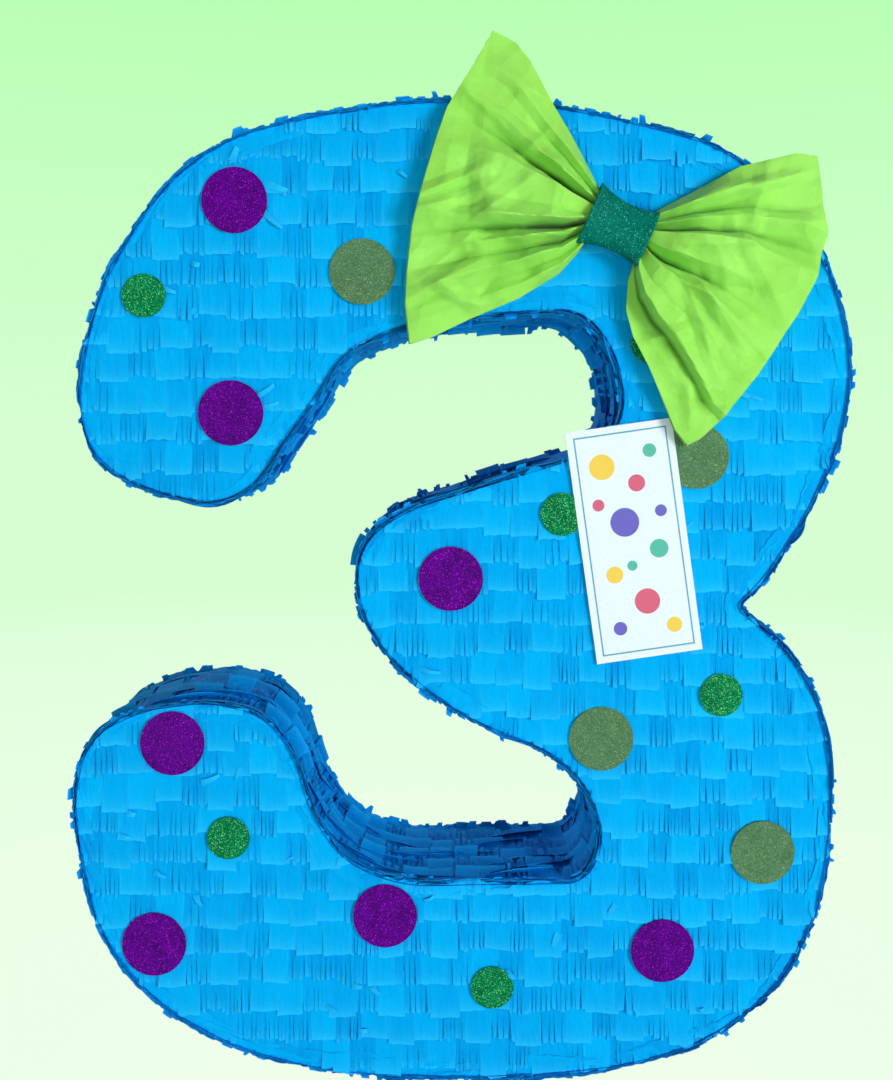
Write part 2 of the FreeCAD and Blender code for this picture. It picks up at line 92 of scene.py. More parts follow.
def evenly(loop, step):
    """The same closed loop with evenly spaced points."""
    closed = np.vstack([loop, loop[:1]])
    lengths = np.concatenate([[0], np.cumsum(np.linalg.norm(np.diff(closed, axis=0), axis=1))])
    count = int(lengths[-1] / step)
    at = np.linspace(0, lengths[-1], count, endpoint=False)
    return np.stack([np.interp(at, lengths, closed[:, k]) for k in (0, 1)], axis=1), lengths[-1]


RAW = outline_of("front_panel")
area = 0.5 * np.sum(RAW[:, 0] * np.roll(RAW[:, 1], -1) - np.roll(RAW[:, 0], -1) * RAW[:, 1])
if area > 0:
    RAW = RAW[::-1]
LOOP, LENGTH = evenly(RAW, 2 * MM)       # clockwise seen from the front
COARSE, _ = evenly(RAW, 4 * MM)
TANGENT = np.roll(LOOP, -1, 0) - np.roll(LOOP, 1, 0)
TANGENT /= np.linalg.norm(TANGENT, axis=1)[:, None]
OUTWARD = np.stack([-TANGENT[:, 1], TANGENT[:, 0]], axis=1)
STEP = LENGTH / len(LOOP)


def on_outline(s, h):
    """Points at a length s along the outline and a height h off the board."""
    at = np.asarray(s) / STEP
    low = np.floor(at).astype(int)
    part = (at - low)[..., None]
    a, b = low % len(LOOP), (low + 1) % len(LOOP)
    place = LOOP[a] * (1 - part) + LOOP[b] * part
    normal = OUTWARD[a] * (1 - part) + OUTWARD[b] * part
    return place + normal * np.asarray(h)[..., None]


def nearest(points):
    """Depth inside the outline, negative outside, and the closest point on it."""
    a = COARSE
    along = np.roll(COARSE, -1, 0) - a
    square = np.sum(along * along, axis=1)
    depth = np.empty(len(points))
    close = np.empty((len(points), 2))
    for first in range(0, len(points), 4000):
        p = points[first:first + 4000, None]
        t = np.clip(np.sum((p - a) * along, axis=2) / square, 0, 1)
        spot = a + along * t[..., None]
        distance = np.linalg.norm(p - spot, axis=2)
        best = np.argmin(distance, axis=1)
        rows = np.arange(len(best))
        ahead = np.roll(a, -1, 0)
        spans = (a[:, 1] > p[..., 1]) != (ahead[:, 1] > p[..., 1])
        height = np.where(np.abs(along[:, 1]) < 1e-12, 1e-12, along[:, 1])
        cross = a[:, 0] + (p[..., 1] - a[:, 1]) * along[:, 0] / height
        inside = np.sum(spans & (p[..., 0] < cross), axis=1) % 2 == 1
        depth[first:first + 4000] = np.where(inside, 1, -1) * distance[rows, best]
        close[first:first + 4000] = spot[rows, best]
    return depth, close


# ---- thin closed sheets -------------------------------------------------------------------
class Sheets:
    """Many small closed sheets gathered into one mesh."""

    def __init__(self):
        self.points = []
        self.faces = []
        self.shade = []
        self.edge_light_and_fold_shade = []
        self.count = 0

    def add(self, front, back, shade, edge_light_and_fold_shade, keep=None):
        """A grid of points with a second skin behind it, closed round every kept cell."""
        rows, cols = front.shape[:2]
        keep = np.ones((rows - 1, cols - 1), bool) if keep is None else keep
        if not keep.any():
            return
        base = self.count
        total = rows * cols
        skip = total
        self.points.append(front.reshape(-1, 3))
        self.points.append(back.reshape(-1, 3))
        self.shade.append(np.full(2 * total, shade))
        self.edge_light_and_fold_shade.append(np.tile(np.broadcast_to(edge_light_and_fold_shade, (rows, cols)).reshape(-1), 2))
        self.count += 2 * total
        for i in range(rows - 1):
            for j in range(cols - 1):
                if not keep[i, j]:
                    continue
                a = base + i * cols + j
                b, c, d = a + 1, a + cols + 1, a + cols
                self.faces.append((a, b, c, d))
                self.faces.append((a + skip, d + skip, c + skip, b + skip))
                if i == 0 or not keep[i - 1, j]:
                    self.faces.append((b, a, a + skip, b + skip))
                if i == rows - 2 or not keep[i + 1, j]:
                    self.faces.append((d, c, c + skip, d + skip))
                if j == 0 or not keep[i, j - 1]:
                    self.faces.append((a, d, d + skip, a + skip))
                if j == cols - 2 or not keep[i, j + 1]:
                    self.faces.append((c, b, b + skip, c + skip))

    def build(self, name, material, crisp=50):
        """Make the object, without the points no face uses."""
        points = np.concatenate(self.points)
        shade = np.concatenate(self.shade)
        edge_light_and_fold_shade = np.concatenate(self.edge_light_and_fold_shade)
        used = np.zeros(len(points), bool)
        for face in self.faces:
            used[list(face)] = True
        number = np.cumsum(used) - 1
        faces = [tuple(int(number[i]) for i in face) for face in self.faces]
        mesh = bpy.data.meshes.new(name)
        mesh.from_pydata(points[used].tolist(), [], faces)
        # shade is a random tone for each piece; the second attribute carries painted light: a highlight along
        # tissue edges and shade in the bow's folds.
        for label, values in (("shade", shade[used]), ("edge_light_and_fold_shade", edge_light_and_fold_shade[used])):
            layer = mesh.attributes.new(label, "FLOAT", "POINT")
            layer.data.foreach_set("value", values.astype(np.float32))
        mesh.validate()
        mesh.update()
        mesh.polygons.foreach_set("use_smooth", [True] * len(mesh.polygons))
        mesh.set_sharp_from_angle(angle=math.radians(crisp))
        obj = bpy.data.objects.new(name, mesh)
        bpy.context.collection.objects.link(obj)
        mesh.materials.append(material)
        return obj


# ---- materials ----------------------------------------------------------------------------
def rgb(red, green, blue):
    """Display colour, 0 to 255, as scene colour."""
    linear = []
    for value in (red, green, blue):
        value = value / 255
        linear.append(value / 12.92 if value <= 0.04045 else ((value + 0.055) / 1.055) ** 2.4)
    return (*linear, 1.0)


class Nodes:
    """Small helper that wires up one procedural material."""

    def __init__(self, name, roughness, metallic=0.0):
        self.material = bpy.data.materials.new(name)
        self.material.use_nodes = True
        self.tree = self.material.node_tree
        self.shader = self.tree.nodes["Principled BSDF"]
        self.shader.inputs["Roughness"].default_value = roughness
        self.shader.inputs["Metallic"].default_value = metallic
        self.where = self.tree.nodes.new("ShaderNodeTexCoord").outputs["Object"]

    def node(self, kind, inputs=None, **settings):
        made = self.tree.nodes.new("ShaderNode" + kind)
        for key, value in settings.items():
            setattr(made, key, value)
        for key, value in (inputs or {}).items():
            if isinstance(value, bpy.types.NodeSocket):
                self.tree.links.new(value, made.inputs[key])
            else:
                made.inputs[key].default_value = value
        return made

    def noise(self, scale, detail=3.0, rough=0.5, stretch=None):
        vector = self.where
        if stretch:
            vector = self.node("Mapping", {"Vector": vector, "Scale": stretch}).outputs["Vector"]
        made = self.node("TexNoise", {"Vector": vector, "Scale": scale, "Detail": detail, "Roughness": rough})
        return made.outputs["Fac"]

    def cells(self, scale):
        return self.node("TexVoronoi", {"Vector": self.where, "Scale": scale}).outputs["Color"]

    def attribute(self, name):
        return self.node("Attribute", attribute_name=name).outputs["Fac"]

    def math(self, operation, a, b=0.0):
        return self.node("Math", {0: a, 1: b}, operation=operation).outputs[0]

    def ramp(self, value, low, high):
        made = self.node("MapRange", {"Value": value, "From Min": low, "From Max": high})
        return made.outputs["Result"]

    def mix(self, factor, a, b):
        made = self.node("Mix", {0: factor, 6: a, 7: b}, data_type="RGBA")
        return made.outputs[2]

    def finish(self, colour, height=None, strength=0.3, distance=0.4 * MM, roughness=None):
        self.tree.links.new(colour, self.shader.inputs["Base Color"])
        if height is not None:
            bump = self.node("Bump", {"Height": height, "Strength": strength, "Distance": distance})
            self.tree.links.new(bump.outputs["Normal"], self.shader.inputs["Normal"])
        if roughness is not None:
            self.tree.links.new(roughness, self.shader.inputs["Roughness"])
        return self.material


def tissue(name, deep, bright, pale, edge_light_share, streak):
    """Tissue paper: each tab a little different, fine streaks and creases, a painted highlight along the cut
    edges.
    """
    m = Nodes(name, 0.85)
    m.shader.inputs["Specular IOR Level"].default_value = 0.03
    tint = m.ramp(m.attribute("shade"), 0.0, 1.0)
    lines = m.ramp(m.noise(230.0, 3.0, 0.6, stretch=streak), 0.3, 0.7)
    mottle = m.ramp(m.noise(38.0, 4.0, 0.6), 0.3, 0.7)
    colour = m.mix(tint, deep, bright)
    colour = m.mix(m.math("MULTIPLY", mottle, 0.35), colour, deep)
    # Lighter streaks along the fine creases: a painted sheen.
    colour = m.mix(m.math("MULTIPLY", lines, 0.35), colour, bright)
    # Painted highlight: the cut edges are lightened towards a pale blue, as if catching the light.
    edge = m.math("POWER", m.attribute("edge_light_and_fold_shade"), 7.0)
    colour = m.mix(m.math("MULTIPLY", edge, edge_light_share), colour, pale)
    wrinkle = m.noise(95.0, 6.0, 0.62)
    crease = m.math("ADD", m.noise(300.0, 5.0, 0.65, stretch=streak), m.math("MULTIPLY", lines, 0.6))
    crease = m.math("ADD", crease, m.math("MULTIPLY", wrinkle, 2.2))
    return m.finish(colour, crease, 0.55, 0.6 * MM)


def glitter(name, dark, base, painted_glint, share):
    """Glitter card: tiny flakes at many angles, some of them painted bright as glints."""
    m = Nodes(name, 0.35)
    m.shader.inputs["Specular IOR Level"].default_value = 0.06
    flakes = m.cells(2200.0)
    split = m.node("SeparateColor", {"Color": flakes})
    patches = m.math("MULTIPLY", m.ramp(m.noise(120.0, 3.0, 0.6), 0.35, 0.65), 0.3)
    colour = m.mix(m.ramp(m.math("SUBTRACT", split.outputs["Red"], patches), -0.1, 0.9), dark, base)
    # Painted glints: a share of the flakes take the bright colour.
    bright = m.math("GREATER_THAN", split.outputs["Green"], 1.0 - share)
    colour = m.mix(bright, colour, painted_glint)
    rough_out = m.ramp(split.outputs["Blue"], -1.0, 1.4)
    return m.finish(colour, split.outputs["Blue"], 0.9, 0.35 * MM, rough_out)


DOWN = (1.0, 1.0, 0.14)
BACKWARD = (1.0, 0.14, 1.0)
BLUE = tissue("blue_tissue", rgb(0, 142, 222), rgb(0, 174, 246), rgb(50, 194, 255), 0.55, DOWN)
# The walls use the same blue tissue painted darker: a painted shade for walls the light only grazes.
SHADED_BLUE = tissue("blue_tissue_painted_shade", rgb(0, 90, 178), rgb(0, 150, 236), rgb(36, 180, 250), 0.55, BACKWARD)


def bow_sheet_paper():
    """Lime wrapping tissue: a slight sheen, flat facets between sharp crumple lines."""
    m = Nodes("lime_tissue", 0.55)
    m.shader.inputs["Specular IOR Level"].default_value = 0.12
    m.shader.inputs["Sheen Weight"].default_value = 0.06
    warp = m.node("TexNoise", {"Vector": m.where, "Scale": 14.0, "Detail": 2.0}).outputs["Color"]
    shift = m.node("VectorMath", {0: warp, "Scale": 0.02}, operation="SCALE").outputs["Vector"]
    bent = m.node("VectorMath", {0: shift, 1: m.where}, operation="ADD").outputs["Vector"]
    facets = m.node("TexVoronoi", {"Vector": bent, "Scale": 34.0}).outputs["Distance"]
    small = m.node("TexVoronoi", {"Vector": bent, "Scale": 95.0}).outputs["Distance"]
    fibre = m.noise(700.0, 4.0, 0.7)
    height = m.math("ADD", m.math("MULTIPLY", facets, 1.0), m.math("MULTIPLY", small, 0.22))
    height = m.math("ADD", height, m.math("MULTIPLY", fibre, 0.03))
    tone = m.ramp(m.noise(24.0, 4.0, 0.6), 0.3, 0.7)
    colour = m.mix(tone, rgb(140, 210, 78), rgb(150, 220, 96))
    colour = m.mix(m.math("MULTIPLY", m.ramp(fibre, 0.35, 0.65), 0.25), colour, rgb(168, 224, 112))
    # Painted shade: darker green in the fold valleys and next to the band.
    colour = m.mix(m.attribute("edge_light_and_fold_shade"), colour, rgb(62, 124, 22))
    return m.finish(colour, height, 0.5, 7.0 * MM)


GREEN = bow_sheet_paper()


def board():
    """Brown corrugated board with faint flutes, its outer faces pasted over with blue tissue."""
    m = Nodes("kraft_board", 0.85)
    speck = m.ramp(m.noise(900.0, 2.0, 0.7), 0.35, 0.65)
    cloud = m.ramp(m.noise(25.0, 3.0, 0.5), 0.35, 0.65)
    colour = m.mix(cloud, rgb(158, 120, 78), rgb(182, 144, 98))
    colour = m.mix(m.math("MULTIPLY", speck, 0.35), colour, rgb(134, 98, 62))
    depth = m.math("ABSOLUTE", m.node("SeparateXYZ", {"Vector": m.where}).outputs["Y"])
    skin_blue = m.mix(cloud, rgb(0, 118, 196), rgb(0, 138, 216))
    colour = m.mix(m.math("GREATER_THAN", depth, FACE - 0.05 * MM), colour, skin_blue)
    flutes = m.node("TexWave", {"Vector": m.where, "Scale": 45.0, "Distortion": 0.6}, bands_direction="X")
    return m.finish(colour, flutes.outputs["Fac"], 0.25, 0.3 * MM)


def taped():
    """Kraft paper tape."""
    m = Nodes("paper_tape", 0.55)
    grain = m.ramp(m.noise(500.0, 3.0, 0.6), 0.3, 0.7)
    colour = m.mix(grain, rgb(196, 160, 112), rgb(214, 182, 134))
    return m.finish(colour, grain, 0.2, 0.2 * MM)


def dowel():
    """Plain birch dowel with grain along its length."""
    m = Nodes("birch", 0.6)
    grain = m.ramp(m.noise(300.0, 4.0, 0.6, stretch=(1.0, 0.05, 1.0)), 0.3, 0.7)
    colour = m.mix(grain, rgb(196, 158, 110), rgb(222, 190, 146))
    return m.finish(colour, grain, 0.2, 0.2 * MM)


def card_print():
    """Smooth card with a generic border line and a few confetti spots."""
    m = Nodes("printed_card", 0.38)
    low, high = (Vector(p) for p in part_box("label_card"))
    centre = (low + high) / 2
    lean = math.radians(8.2)
    place = m.node("VectorMath", {0: m.where, 1: centre}, operation="SUBTRACT").outputs["Vector"]
    turned = m.node("VectorRotate", {"Vector": place, "Angle": lean}, rotation_type="Y_AXIS")
    turned = turned.outputs["Vector"]
    axes = m.node("SeparateXYZ", {"Vector": turned})
    across, up = axes.outputs["X"], axes.outputs["Z"]
    edge_x = m.math("SUBTRACT", 31.5 * MM, m.math("ABSOLUTE", across))
    edge_z = m.math("SUBTRACT", 69.0 * MM, m.math("ABSOLUTE", up))
    edge = m.math("MINIMUM", edge_x, edge_z)
    line = m.math("MULTIPLY", m.math("GREATER_THAN", edge, 4.0 * MM), m.math("LESS_THAN", edge, 4.9 * MM))
    paper = m.mix(m.ramp(m.noise(700.0, 2.0, 0.6), 0.3, 0.7), rgb(220, 228, 244), rgb(226, 234, 248))
    colour = m.mix(line, paper, rgb(70, 150, 190))
    inks = (rgb(236, 196, 70), rgb(210, 84, 120), rgb(96, 86, 190), rgb(70, 176, 160))
    spots = ((-13, 46, 7.5), (6, 34, 5.0), (-4, 12, 8.5), (14, -6, 5.5), (-14, -18, 5.0), (3, -36, 7.5),
             (-15, -50, 4.0), (16, 52, 4.0), (17, -52, 4.5), (-18, 24, 3.5), (18, 16, 3.5), (-3, -14, 3.0))
    for i, (x, z, r) in enumerate(spots):
        dx = m.math("SUBTRACT", across, x * MM)
        dz = m.math("SUBTRACT", up, z * MM)
        away = m.math("SQRT", m.math("ADD", m.math("MULTIPLY", dx, dx), m.math("MULTIPLY", dz, dz)))
        colour = m.mix(m.math("LESS_THAN", away, r * MM), colour, inks[i % len(inks)])
    return m.finish(colour, m.noise(900.0, 2.0, 0.5), 0.04, 0.1 * MM)


FINISH = {
    "kraft_board": board(),
    "paper_tape": taped(),
    "dowel": dowel(),
    "plain_card": card_print(),
    "glitter_purple": glitter("purple_glitter", rgb(56, 0, 92), rgb(112, 0, 166), rgb(196, 40, 226), 0.045),
    "glitter_olive": glitter("olive_glitter", rgb(70, 108, 78), rgb(100, 142, 102), rgb(150, 180, 120), 0.05),
    "glitter_emerald": glitter("emerald_glitter", rgb(0, 84, 52), rgb(4, 146, 88), rgb(110, 230, 140), 0.10),
    "glitter_band": glitter("dark_green_glitter", rgb(0, 84, 78), rgb(0, 134, 118), rgb(70, 196, 160), 0.04),
    "tissue_blue": BLUE,
    "tissue_blue_side": SHADED_BLUE,
    "tissue_green": GREEN,
}
for part in frame["record"]["subparts"]:
    mesh = frame["nodes"][part["node"]].data
    mesh.materials.clear()
    mesh.materials.append(FINISH[part["material_slot"]])


# ---- what lies flat on the fringe and presses it down ---------------------------------------
DOT_NODES = [part["node"] for part in frame["record"]["subparts"] if part["node"].startswith("dot_")]
DISCS = []
for node in DOT_NODES:
    low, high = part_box(node)
    DISCS.append(((low[0] + high[0]) / 2, (low[2] + high[2]) / 2, (high[0] - low[0]) / 2))


def pressed(x, z, h):
    """Keeps the tissue below the dots and the card on the front."""
    for cx, cz, r in DISCS:
        away = np.hypot(x - cx, z - cz) - r
        limit = 1.75 * MM + np.clip(away - 0.6 * MM, 0, 1) * 0.9
        h = np.minimum(h, limit)
    low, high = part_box("label_card")
    cx, cz = (low[0] + high[0]) / 2, (low[2] + high[2]) / 2
    lean = math.radians(8.2)
    dx, dz = x - cx, z - cz
    across = np.abs(dx * math.cos(lean) + dz * math.sin(lean)) - 31.5 * MM
    up = np.abs(-dx * math.sin(lean) + dz * math.cos(lean)) - 69 * MM
    away = np.maximum(across, up)
    return np.minimum(h, 1.75 * MM + np.clip(away - 0.6 * MM, 0, 1) * 0.9)


# ---- rows of fringe ---------------------------------------------------------------------------
def tab_shapes(rng, kind, width, loose=1.0):
    """Tabs or fingers of one block: offset, width, taper, lift, lean, curl and tint."""
    if kind == "square":
        lift = rng.uniform(0.3, 1.1) if rng.random() < 0.85 else rng.uniform(1.2, 2.6)
        return [(0.0, width * rng.uniform(0.98, 1.12), rng.uniform(0.96, 1.04), lift * loose,
                 rng.uniform(-0.7, 0.7), rng.uniform(-0.35, 0.35), rng.uniform(0.5, 1.0))]
    fingers = rng.choice((4, 4, 5, 5, 6, 7))
    each = width / fingers
    tint = rng.uniform(0.1, 0.6)
    shapes = []
    for i in range(fingers):
        lift = rng.uniform(0.1, 0.8) if rng.random() < 0.9 else rng.uniform(0.9, 2.2)
        shapes.append(((i + 0.5) * each - width / 2, each * 1.06, rng.uniform(0.5, 0.92), lift * loose,
                       rng.uniform(-0.7, 0.7), rng.uniform(-0.2, 0.2), tint + rng.uniform(-0.15, 0.15)))
    return shapes


def tab_grid(rng, centre, top, low, shape, across, down, torn=0.5):
    """Grid of (u, v, h) in metres for one tab hanging from top to low."""
    _, width, taper, lift, lean, curl, _ = shape
    t = np.linspace(0, 1, down + 1)[:, None]
    w = np.linspace(-0.5, 0.5, across + 1)[None, :]
    low_here = low + rng.uniform(-1.3, 1.3) * MM
    tilt = rng.uniform(-1.4, 1.4) * MM
    rip = np.array([rng.uniform(-1, 1) for _ in range(across + 1)])[None, :] * torn * MM
    u = centre + w * width * (1 + (taper - 1) * t ** 1.5) + lean * MM * t ** 1.5
    v = top + (low_here - top) * t + tilt * w * t + rip * t ** 4
    rise = rng.uniform(0.28, 0.5)
    h = rise + 0.3 * t + lift * t ** 2.4 + curl * (w * 2) * t ** 2 + abs(curl) * 0.6 * (w * 2) ** 2 * t
    return u, v, h * MM


def wobble(x, z):
    """Slow in and out of the tissue's border, in millimetres."""
    return 1.8 * noise.noise(Vector((x * 30, z * 30, 3.0)))


def tab_edge_light(shape):
    """Painted highlight: 1 along the cut edges of a tab, falling to 0 inside it."""
    t = np.linspace(0, 1, shape[0])[:, None]
    w = np.abs(np.linspace(-1, 1, shape[1]))[None, :]
    return np.maximum(t, 0.93 * w * t ** 0.2) if shape[1] > 4 else t + 0 * w


FLAP_LOW, FLAP_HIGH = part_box("fill_flap")
FRINGE_TOP = 2.0 * MM


def lines(*stops):
    """Grid lines about 3 mm apart that pass through every stop."""
    parts = [np.linspace(a, b, max(2, int((b - a) / (3.1 * MM)) + 1))[:-1] for a, b in zip(stops, stops[1:])]
    return np.concatenate(parts + [[stops[-1]]])


def flat_block(left, right, low, box):
    """The glued layer under the rows of the back, with grid lines at the flap's edges."""
    x0, z0, x1, z1 = box
    u = lines(left - 2 * MM, x0, x1, right + 2 * MM)[None, :]
    v = lines(low - 2 * MM, z0, z1, FRINGE_TOP)[::-1][:, None]
    return u, v, np.full((v.shape[0], u.shape[1]), 0.3 * MM), 0.3, -1


def whole(mask):
    """Cells of a grid with all four corners in the mask."""
    return mask[:-1, :-1] & mask[1:, :-1] & mask[:-1, 1:] & mask[1:, 1:]


# A cell goes by its middle, so the rows stay this far clear of the flap's cut, and of its hinge
CLEAR_OF_CUT = 2.6 * MM
CLEAR_OF_HINGE = 1.6 * MM
# and the flap's own rows end this far inside its edges
INSIDE_FLAP = 1 * MM
BELOW_HINGE = 4 * MM


def face_rows(rng, side, window=None, only=None):
    """Rows of tissue over the front (side -1) or the back (side 1)."""
    left, right = RAW[:, 0].min(), RAW[:, 0].max()
    low = RAW[:, 1].min()
    blocks = []
    row = 0
    z_row = FRINGE_TOP
    while z_row > low - PITCH:
        z_low = z_row - PITCH
        start = left - TAB * (1.0 + 0.5 * (row % 2)) + rng.uniform(-2, 2) * MM
        column = 0
        x = start
        while x < right + TAB:
            width = TAB * rng.uniform(0.94, 1.06)
            kind = "square" if (column + row) % 2 == 0 else "slits"
            if rng.random() < 0.13:
                kind = "slits" if kind == "square" else "square"
            drift = (rng.uniform(-2.6, 2.6) if kind == "square" else rng.uniform(-1.0, 3.0)) * MM
            for shape in tab_shapes(rng, kind, width):
                across, down = (5, 7) if kind == "square" else (1, 6)
                u, v, h = tab_grid(rng, x + width / 2 + shape[0], z_low + PITCH + 7 * MM, z_low + drift,
                                   shape, across, down)
                blocks.append((u, v, h, shape[6], row))
            x += width
            column += 1
        z_row = z_low
        row += 1
    if side > 0:
        blocks.append(flat_block(left, right, low, window or only))
    flat = np.concatenate([np.stack(np.broadcast_arrays(u, v, h)[:2], -1).reshape(-1, 2)
                           for u, v, h, _, _ in blocks])
    depth, close = nearest(flat)
    sheets = Sheets()
    at = 0
    for u, v, h, tint, row in blocks:
        shape = h.shape
        count = shape[0] * shape[1]
        d = depth[at:at + count].reshape(shape)
        spot = close[at:at + count].reshape(shape + (2,))
        at += count
        u = np.broadcast_to(u, shape).copy()
        v = np.broadcast_to(v, shape).copy()
        if d.max() < 0.3 * MM:
            continue
        snap = np.abs(d) < 1.7 * MM
        away = (spot - np.stack([u, v], -1)) * np.sign(d)[..., None]
        away /= np.maximum(np.linalg.norm(away, axis=-1), 0.2 * MM)[..., None]
        torn = np.zeros(shape)
        for i, j in zip(*np.nonzero(snap)):
            x, z = spot[i, j]
            fine = noise.noise(Vector((x * 210, z * 210, 1.0)))
            torn[i, j] = 0.5 + wobble(x, z) + 1.5 * fine + rng.uniform(-0.3, 0.3)
            torn[i, j] += 4.5 * max(0.0, noise.noise(Vector((x * 90, z * 90, 7.0))) - 0.08)
        ragged = spot + away * torn[..., None] * MM
        u[snap] = ragged[snap][:, 0]
        v[snap] = ragged[snap][:, 1]
        inside = (d > 0) | snap
        keep = whole(inside) & ~whole(snap)
        if side < 0:
            h = np.maximum(pressed(u, v, h), 0.3 * MM)
        for box, inner in ((window, False), (only, True)):
            if box is None:
                continue
            x0, z0, x1, z1 = box
            if row >= 0:
                inset = INSIDE_FLAP if inner else -CLEAR_OF_CUT
                z1 -= BELOW_HINGE if inner else -CLEAR_OF_HINGE
                x0, z0, x1 = x0 + inset, z0 + inset, x1 - inset
            middle_u = (u[:-1, :-1] + u[1:, 1:]) / 2
            middle_v = (v[:-1, :-1] + v[1:, 1:]) / 2
            within = (middle_u > x0) & (middle_u < x1) & (middle_v > z0) & (middle_v < z1)
            keep &= within if inner else ~within
            if inner:
                u, v = np.clip(u, x0, x1), np.clip(v, z0, z1)
        edge_light_and_fold_shade = tab_edge_light(shape)
        front = np.stack([u, side * (FACE + h), v], -1)
        back = np.stack([u, side * (FACE + h - SHEET), v], -1)
        if side < 0:
            sheets.add(front, back, tint, edge_light_and_fold_shade, keep)
        else:
            sheets.add(back, front, tint, edge_light_and_fold_shade, keep)
    return sheets


def ground(sheets):
    """The glued layer under the rows of the front, following the outline."""
    base = sheets.count
    n = len(COARSE)
    for y in (-(FACE + 0.25 * MM), -FACE):
        sheets.points.append(np.stack([COARSE[:, 0], np.full(n, y), COARSE[:, 1]], 1))
    sheets.shade.append(np.full(2 * n, 0.35))
    sheets.edge_light_and_fold_shade.append(np.zeros(2 * n))
    sheets.count += 2 * n
    order = list(range(base, base + n))
    sheets.faces.append(tuple(order))
    sheets.faces.append(tuple(i + n for i in reversed(order)))
    for k in range(n):
        a, b = order[k], order[(k + 1) % n]
        sheets.faces.append((b, a, a + n, b + n))


rng = random.Random(41)
front_rows = face_rows(rng, -1)
ground(front_rows)


def scrap(sheets, x, z, long, wide, angle, lift, tint):
    """A loose curled bit of tissue on the front."""
    t = np.linspace(0, 1, 8)[:, None]
    w = np.linspace(-0.5, 0.5, 4)[None, :]
    c, s = math.cos(angle), math.sin(angle)
    along = long * t
    across = w * wide * (1 - 0.5 * t) + 0.15 * long * t ** 2
    u = (x + along * c - across * s) * MM
    v = (z + along * s + across * c) * MM
    h = (1.2 + lift * np.sin(t * 2.6) + 0.5 * w) * MM
    u, v, h = np.broadcast_arrays(u, v, h)
    front = np.stack([u, -(FACE + h), v], -1)
    back = np.stack([u, -(FACE + h - SHEET), v], -1)
    # The whole loose bit gets the painted edge highlight, strongest at its tip.
    sheets.add(front, back, tint, np.broadcast_to(0.9 + 0.1 * t, u.shape))


def border_strips(sheets, side, rng):
    """Strips folded over the edge, lying along the outline on a face."""
    at = 0.0
    while at < LENGTH:
        run = rng.uniform(16, 75) * MM
        if rng.random() < 0.72:
            for layer in range(rng.choice((1, 1, 2))):
                steps = max(4, int(run / (3 * MM)))
                s = at + np.linspace(0, 1, steps + 1)[None, :] * run
                phase = rng.uniform(0, 6.28)
                wide = rng.uniform(3, 11) if layer == 0 else rng.uniform(2, 4)
                wide = wide + 1.4 * np.sin(s / (12 * MM) + phase)
                wide = wide + np.array([rng.uniform(-0.7, 0.7) for _ in range(steps + 1)])[None, :]
                across = np.linspace(0, 1, 5)[:, None]
                outer = np.array([rng.uniform(-0.4, 0.9) for _ in range(steps + 1)])[None, :]
                inset = outer + (-wide - outer) * across + 0.0 * s
                place = on_outline(s + 0.0 * inset, inset * MM)
                wave = 0.25 * np.sin(across * 7 + phase + s / (7 * MM))
                h = 0.5 + (0.55 + 0.2 * layer) * across ** 0.6 + wave
                h = pressed(place[..., 0], place[..., 1], np.maximum(h, 0.3) * MM)
                front = np.stack([place[..., 0], side * (FACE + h), place[..., 1]], -1)
                back = np.stack([place[..., 0], side * (FACE + h - SHEET), place[..., 1]], -1)
                if side > 0:
                    front, back = back, front
                # Painted highlight rising towards the strip's inner edge.
                sheets.add(front, back, rng.uniform(0.2, 0.95), np.broadcast_to(0.75 * across, inset.shape))
        at += run * rng.uniform(0.6, 1.1)


border_strips(front_rows, -1, rng)
# Loose bits: some by the dots, the rest scattered over the front.
LOOSE = ((-131, -62, 15, 4, -50), (-129, -46, 13, 5, -28), (-149, -34, 9, 5, 60), (-136, -170, 13, 3.5, 25),
         (-133, -176, 11, 3, 8), (-190, -106, 9, 4, -30), (12, -512, 7, 4, -60), (-38, -470, 7, 3, 20),
         (-170, -398, 12, 4, 15), (-40, -330, 12, 3.5, -20), (70, -188, 12, 3, 5))
for x, z, long, wide, degrees in LOOSE:
    scrap(front_rows, x, z, long, wide, math.radians(degrees), rng.uniform(1.2, 2.4), rng.uniform(0.6, 1.0))
spots = []
while len(spots) < 70:
    x, z = rng.uniform(-235, 205), rng.uniform(-570, -8)
    if all(math.hypot(x - cx / MM, z - cz / MM) > r / MM + 13 for cx, cz, r in DISCS):
        spots.append((x, z))
deep, _ = nearest(np.array(spots) * MM)
for (x, z), inside in zip(spots, deep):
    if inside > 14 * MM:
        scrap(front_rows, x, z, rng.uniform(4, 10), rng.uniform(2, 5), rng.uniform(-2.6, 0.4),
              rng.uniform(0.5, 1.8), rng.uniform(0.5, 1.0))
front_fringe = front_rows.build("front_fringe_rows", BLUE)
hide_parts("front_fringe")
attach(front_fringe, "shell")


# ---- fringe along the walls -------------------------------------------------------------------
def wall_spans():
    """Start and length along the outline of each wall strip."""
    spans = {}
    for part in frame["record"]["subparts"]:
        node = part["node"]
        if not node.startswith("wall_"):
            continue
        mesh = frame["nodes"][node].data
        points = np.array([(v.co.x, v.co.z) for v in mesh.vertices])
        near = []
        for p in points:
            away = np.linalg.norm(LOOP - p, axis=1)
            best = int(np.argmin(away))
            if away[best] < 1.2 * MM:
                near.append(best)
        marks = np.zeros(len(LOOP), bool)
        marks[near] = True
        where = np.flatnonzero(marks)
        gaps = np.diff(np.append(where, where[0] + len(LOOP)))
        last = int(np.argmax(gaps))
        start = where[(last + 1) % len(where)]
        spans[node[5:]] = (start * STEP, (len(LOOP) - gaps[last]) * STEP)
    return spans


